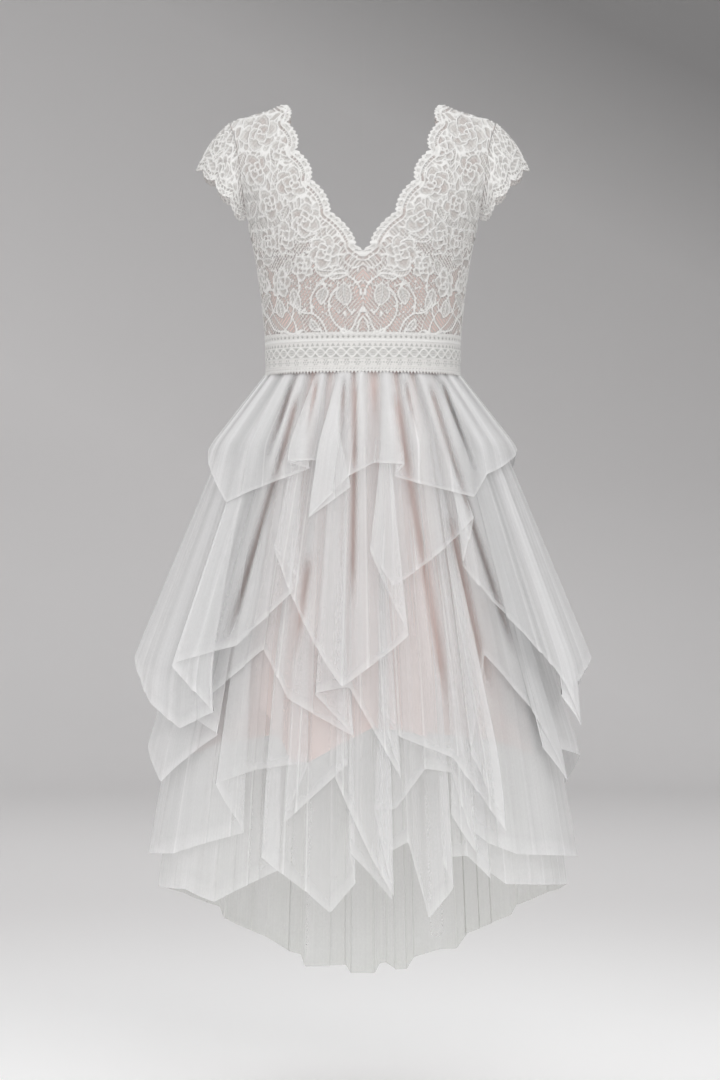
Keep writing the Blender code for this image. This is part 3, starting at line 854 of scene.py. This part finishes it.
def tulle_sheet(layer, hem, back, seed, base, swing=1.0, sides=0.9, cones=13):
    """Half of a skirt layer as a sheet; its cut size is measured on the points shown."""
    half = TulleHalf(layer, hem, back, seed)
    grid = half.points(swing, cones)
    cut = np.stack([np.broadcast_to(half.place * half.cloth, half.down.shape), half.down], axis=-1)
    return grid, grid, {"cover": half.cover(grid, base, sides)}, cut


class Net:
    """A material's nodes, joined one by one to its shader."""

    def __init__(self, name):
        self.material = bpy.data.materials.new(name)
        self.material.use_nodes = True
        self.nodes = self.material.node_tree.nodes
        self.shader = self.nodes["Principled BSDF"].inputs

    def put(self, socket, value):
        """Links another node's output to a socket, or gives it a constant."""
        if isinstance(value, bpy.types.NodeSocket):
            self.material.node_tree.links.new(value, socket)
        else:
            socket.default_value = value

    def node(self, kind, inputs, **settings):
        node = self.nodes.new(kind)
        for name, value in settings.items():
            setattr(node, name, value)
        for name, value in inputs.items():
            self.put(node.inputs[name], value)
        return node

    def maths(self, operation, *values, clamp=False):
        inputs = dict(enumerate(values))
        return self.node("ShaderNodeMath", inputs, operation=operation, use_clamp=clamp).outputs[0]

    def attribute(self, name, output="Fac"):
        return self.node("ShaderNodeAttribute", {}, attribute_name=name).outputs[output]

    def mix(self, factor, first, second):
        inputs = {"Factor": factor, "A": first, "B": second}
        return self.node("ShaderNodeMix", inputs, data_type="RGBA").outputs["Result"]

    def scaled(self, vector, scale):
        return self.node("ShaderNodeMapping", {"Scale": scale, "Vector": vector}).outputs["Vector"]

    def noise(self, vector, scale, detail, roughness=0.55):
        inputs = {"Vector": vector, "Scale": scale, "Detail": detail, "Roughness": roughness}
        return self.node("ShaderNodeTexNoise", inputs).outputs["Fac"]

    def stripes(self, vector, pitch, turn, wander):
        """Thin threads side by side on the flat cloth, this many millimetres apart, a little uneven."""
        turned = self.node("ShaderNodeMapping", {"Rotation": (0.0, 0.0, turn), "Vector": vector})
        inputs = {"Vector": turned.outputs["Vector"], "Scale": math.pi / 10.0 / pitch, "Distortion": wander,
                  "Detail": 1.0, "Detail Scale": 0.4}
        shape = {"wave_type": "BANDS", "bands_direction": "X", "wave_profile": "SIN"}
        return self.node("ShaderNodeTexWave", inputs, **shape).outputs["Fac"]

    def bump(self, height, strength, distance):
        inputs = {"Strength": strength, "Distance": distance, "Height": height}
        self.put(self.shader["Normal"], self.node("ShaderNodeBump", inputs).outputs["Normal"])

    def cloth(self, colour, roughness, sheen, sheen_roughness, specular):
        """Gives the shader its colour and the constants of a cloth."""
        inputs = {"Base Color": colour, "Roughness": roughness, "Sheen Weight": sheen,
                  "Sheen Roughness": sheen_roughness, "Specular IOR Level": specular}
        for name, value in inputs.items():
            self.put(self.shader[name], value)


def lace_material(name, closed=0.0):
    """Ivory threads: the closed parts and cords are solid, and the net between them is sheer and striped.
    Where closed is above 0 the gaps are filled with a nearly opaque dark grey, painted shade in the holes."""
    net = Net(name)
    cover, cord, hatch = net.attribute("cover"), net.attribute("cord"), net.attribute("hatch")
    cut = net.attribute("cut", "Vector")
    threads = net.noise(net.scaled(cut, (1.0, 0.5, 1.0)), 1.3, 4.0, 0.7)
    tone = net.maths("MULTIPLY_ADD", threads, 0.7, 0.15, clamp=True)
    # Painted shade: the lace between the cords gets darker tones than the cords, varied at random by the
    # thread noise.
    shade = net.mix(tone, (0.62, 0.605, 0.585, 1), (0.74, 0.73, 0.71, 1))
    colour = net.mix(cord, shade, (0.82, 0.815, 0.80, 1))
    slant = net.maths("MULTIPLY_ADD", net.stripes(cut, 4.4, 0.75, 1.2), 2.6, -1.2, clamp=True)
    thread_lines = net.maths("MULTIPLY", slant, hatch)
    worked = net.maths("MULTIPLY", cover, net.maths("MULTIPLY_ADD", threads, 0.6, 0.70))
    alpha = net.maths("MULTIPLY_ADD", thread_lines, 0.5, worked, clamp=True)
    if closed:
        # Painted shade: the band's holes get a dark grey colour and are made nearly opaque.
        colour = net.mix(alpha, (0.46, 0.46, 0.445, 1), colour)
        alpha = net.maths("MAXIMUM", alpha, closed)
    net.cloth(colour, 0.82, 0.25, 0.5, 0.25)
    net.put(net.shader["Alpha"], alpha)
    net.bump(net.maths("MULTIPLY_ADD", threads, 0.35, cord), 0.8, 0.0016)
    return net.material


def lining_material():
    """Blush net lining with a fine crosswise grain."""
    net = Net("blush_lining_cloth")
    cut = net.attribute("cut", "Vector")
    weave = net.noise(net.scaled(cut, (0.25, 1.0, 1.0)), 0.9, 4.0, 0.7)
    cloud = net.noise(cut, 0.02, 2.0)
    tone = net.maths("MULTIPLY_ADD", weave, 0.7, 0.1, clamp=True)
    colour = net.mix(tone, (0.66, 0.48, 0.44, 1), (0.87, 0.685, 0.64, 1))
    colour = net.mix(net.maths("MULTIPLY", cloud, 0.35), colour, (0.80, 0.66, 0.62, 1))
    net.cloth(colour, 0.7, 0.3, 0.45, 0.25)
    net.bump(weave, 0.25, 0.0006)
    return net.material


def tulle_material(name, light, shade):
    """Soft sheer net: streaks of fine thread run down the cloth, closer on the folds."""
    net = Net(name)
    cover = net.attribute("cover")
    cut = net.attribute("cut", "Vector")
    streak = net.noise(net.scaled(cut, (1.0, 0.02, 1.0)), 0.30, 3.0, 0.5)
    mottle = net.noise(net.scaled(cut, (1.0, 0.7, 1.0)), 0.35, 3.0, 0.6)
    mixed = net.maths("MULTIPLY_ADD", streak, 0.20, net.maths("MULTIPLY", mottle, 0.24))
    alpha = net.maths("MULTIPLY", cover, net.maths("ADD", mixed, 0.78), clamp=True)
    # The colour is painted light and shade: the light tone where the net is closed, the shade tone where it
    # is sparse.
    net.cloth(net.mix(cover, shade, light), 0.75, 0.2, 0.4, 0.2)
    net.put(net.shader["Alpha"], alpha)
    net.bump(streak, 0.3, 0.0008)
    return net.material


def stage_material():
    """A pale floor under a grey wall whose painted shade darkens it upwards and to one side."""
    net = Net("studio_sweep")
    place = net.node("ShaderNodeTexCoord", {}).outputs["Object"]
    split = net.node("ShaderNodeSeparateXYZ", {0: place}).outputs
    above_floor = 1 / WALL_HEIGHT_SHOWN, FLOOR_DROP / WALL_HEIGHT_SHOWN
    # Painted shade: the wall's tone darkens with height and towards +X.
    rise = net.maths("MULTIPLY_ADD", split["Z"], *above_floor)
    tone = net.maths("ADD", rise, net.maths("MULTIPLY", split["X"], PAINTED_SHADE_ASIDE))
    flat = net.scaled(place, (1.0, 1.0, 0.0))
    reach = net.node("ShaderNodeVectorMath", {0: flat}, operation="LENGTH").outputs["Value"]
    inputs = {"From Min": 0.2, "From Max": 2.4, "Value": reach}
    wall = net.node("ShaderNodeMapRange", inputs, interpolation_type="SMOOTHSTEP").outputs["Result"]
    ramp = net.node("ShaderNodeValToRGB", {0: tone})
    for height, _ in PAINTED_WALL_SHADE[1:-1]:
        ramp.color_ramp.elements.new(height)
    for element, (height, shade) in zip(ramp.color_ramp.elements, PAINTED_WALL_SHADE):
        element.position = height
        element.color = (shade, shade * 0.985, shade * 0.985, 1)
    net.put(net.shader["Base Color"], net.mix(wall, (0.99, 0.99, 0.99, 1), ramp.outputs[0]))
    net.put(net.shader["Roughness"], 0.9)
    return net.material


def build_bodice(materials):
    for half in ("front", "back"):
        back = half == "back"
        lining = lining_grid(back)
        lining_cut = np.stack([row_length(lining), TIP_HEIGHT - lining[..., 2]], axis=-1)
        lace = bodice_lace(back)
        linings = [f"{half}_{side}_bodice_lining" for side in ("left", "right")]
        for side, under in zip(("left", "right"), linings):
            sheet = on_side((lining, lining, {}, lining_cut), side)
            dress_piece(under, f"lining_{half}_{side}", "blush_lining", materials["lining"], sheet, "hung")
            dress_piece(f"{half}_{side}_bodice_lace", f"lace_{half}_{side}", "lace", materials["lace"],
                        on_side(lace, side), "hung", [under])
        dress_piece(f"{half}_crochet_band", f"waistband_{half}", "band_lace", materials["band"],
                    band_lace(back), "stretched", linings)
    sleeve = sleeve_lace()
    for side in ("left", "right"):
        dress_piece(f"{side}_cap_sleeve", f"sleeve_{side}", "lace", materials["sleeve"],
                    on_side(sleeve, side), "hung", [f"front_{side}_bodice_lace", f"back_{side}_bodice_lace"])


def build_skirt(materials):
    """The five tulle layers and the skirt lining: node, form, hem, seed, how closed the net is, and swing."""
    layers = (
        ("tier_1", TIER_1, HEM_1, 11, 0.30, 1.0), ("tier_2", TIER_2, HEM_2, 23, 0.28, 1.0),
        ("tier_3", TIER_3, HEM_3, 37, 0.26, 0.6), ("tier_4", TIER_4, HEM_4, 51, 0.26, 0.4),
        ("long_layer", LONG_LAYER, HEM_LONG_FRONT, 67, 0.28, 0.35),
    )
    for half in ("front", "back"):
        back = half == "back"
        hung = "gathered", [f"{half}_crochet_band"], GATHERS
        for node, layer, hem, seed, base, swing in layers:
            net = materials["tulle"]
            if back and node == "long_layer":
                # The long layer's back half takes a darker copy of the tulle: painted shade.
                net = materials["long_tulle"]
                sheet = tulle_sheet(layer, HEM_LONG_BACK, back, seed, 0.44, 1.0, 0.0, 16)
            elif back:
                sheet = tulle_sheet(layer, turned_to_back(hem, seed), back, seed + 100, base, swing)
            else:
                sheet = tulle_sheet(layer, hem, back, seed, base, swing)
            dress_piece(f"{half}_{node}_tulle", f"{node}_{half}", "tulle", net, sheet, *hung)
        hem = HEM_LINING_BACK if back else HEM_LINING_FRONT
        sheet = tulle_sheet(SKIRT_LINING, hem, back, 83 + 100 * back, 0.9)
        dress_piece(f"{half}_skirt_lining", f"skirt_lining_{half}", "blush_lining", materials["lining"],
                    sheet, *hung)


def build_stage():
    """A round floor that curves up into a wall, so that every view has the same background."""
    profile = [(0.0003, 0.0), (1.5, 0.0), (3.0, 0.0), (STAGE_RADIUS - BEND_RADIUS, 0.0)]
    for step in range(1, 13):
        angle = math.radians(90 * step / 12)
        out, up = math.sin(angle) - 1, 1 - math.cos(angle)
        profile.append((STAGE_RADIUS + BEND_RADIUS * out, BEND_RADIUS * up))
    profile += [(STAGE_RADIUS, WALL_TOP / 2), (STAGE_RADIUS, WALL_TOP)]
    around = np.radians(np.linspace(0, 360, 97))
    points = [[(r * math.sin(a), r * math.cos(a), z - FLOOR_DROP) for a in around] for r, z in profile]
    quads = grid_quads(len(profile), len(around))
    surface("studio_sweep", np.array(points), quads, stage_material())


def area_light(name, place, target, size, watts):
    """A square lamp at one place that shines towards another."""
    data = bpy.data.lights.new(name, "AREA")
    data.shape = "SQUARE"
    data.size = size
    data.energy = watts
    lamp = bpy.data.objects.new(name, data)
    lamp.location = place
    aim = np.array(target) - np.array(place)
    tilt = math.acos(-aim[2] / np.linalg.norm(aim))
    lamp.rotation_euler = (tilt, 0.0, math.atan2(aim[1], aim[0]) - math.pi / 2)
    bpy.context.scene.collection.objects.link(lamp)


def build_light():
    area_light("key", (1.5, -3.6, 1.3), (0, 0, -0.5), 3.4, 84)
    area_light("fill", (-2.2, -3.6, 0.3), (0, 0, -0.6), 3.0, 38)
    area_light("back_rim", (0.0, 3.4, 1.8), (0, 0, -0.6), 2.2, 22)
    world = bpy.data.worlds.new("studio")
    world.use_nodes = True
    world.node_tree.nodes["Background"].inputs["Color"].default_value = (1.0, 1.0, 1.0, 1)
    world.node_tree.nodes["Background"].inputs["Strength"].default_value = 0.90
    bpy.context.scene.world = world


def build_camera():
    data = bpy.data.cameras.new("photo_view")
    data.sensor_fit = "VERTICAL"
    data.sensor_height = SENSOR_HEIGHT
    data.lens = SENSOR_HEIGHT / FRAME_HEIGHT * CAMERA_DISTANCE
    camera = bpy.data.objects.new("photo_view", data)
    camera.location = (CAMERA_ASIDE, -CAMERA_DISTANCE, -CAMERA_DROP)
    camera.rotation_euler = (math.radians(90), 0, 0)
    bpy.context.scene.collection.objects.link(camera)
    bpy.context.scene.camera = camera


def main():
    materials = {
        "lace": lace_material("bodice_lace_threads"),
        "sleeve": lace_material("sleeve_lace_threads"),
        "band": lace_material("band_crochet_threads", 0.92),
        "lining": lining_material(),
        "tulle": tulle_material("white_tulle", (0.91, 0.91, 0.915, 1), (0.82, 0.82, 0.82, 1)),
        # A darker copy of the white tulle: painted shade for the long layer's back half.
        "long_tulle": tulle_material("shaded_tulle", (0.72, 0.735, 0.70, 1), (0.62, 0.635, 0.60, 1)),
    }
    build_bodice(materials)
    build_skirt(materials)
    build_stage()
    build_light()
    build_camera()
    scene = bpy.context.scene
    scene.cycles.transparent_max_bounces = 32
    scene.cycles.diffuse_bounces = 3
    scene.view_settings.view_transform = "Standard"


main()
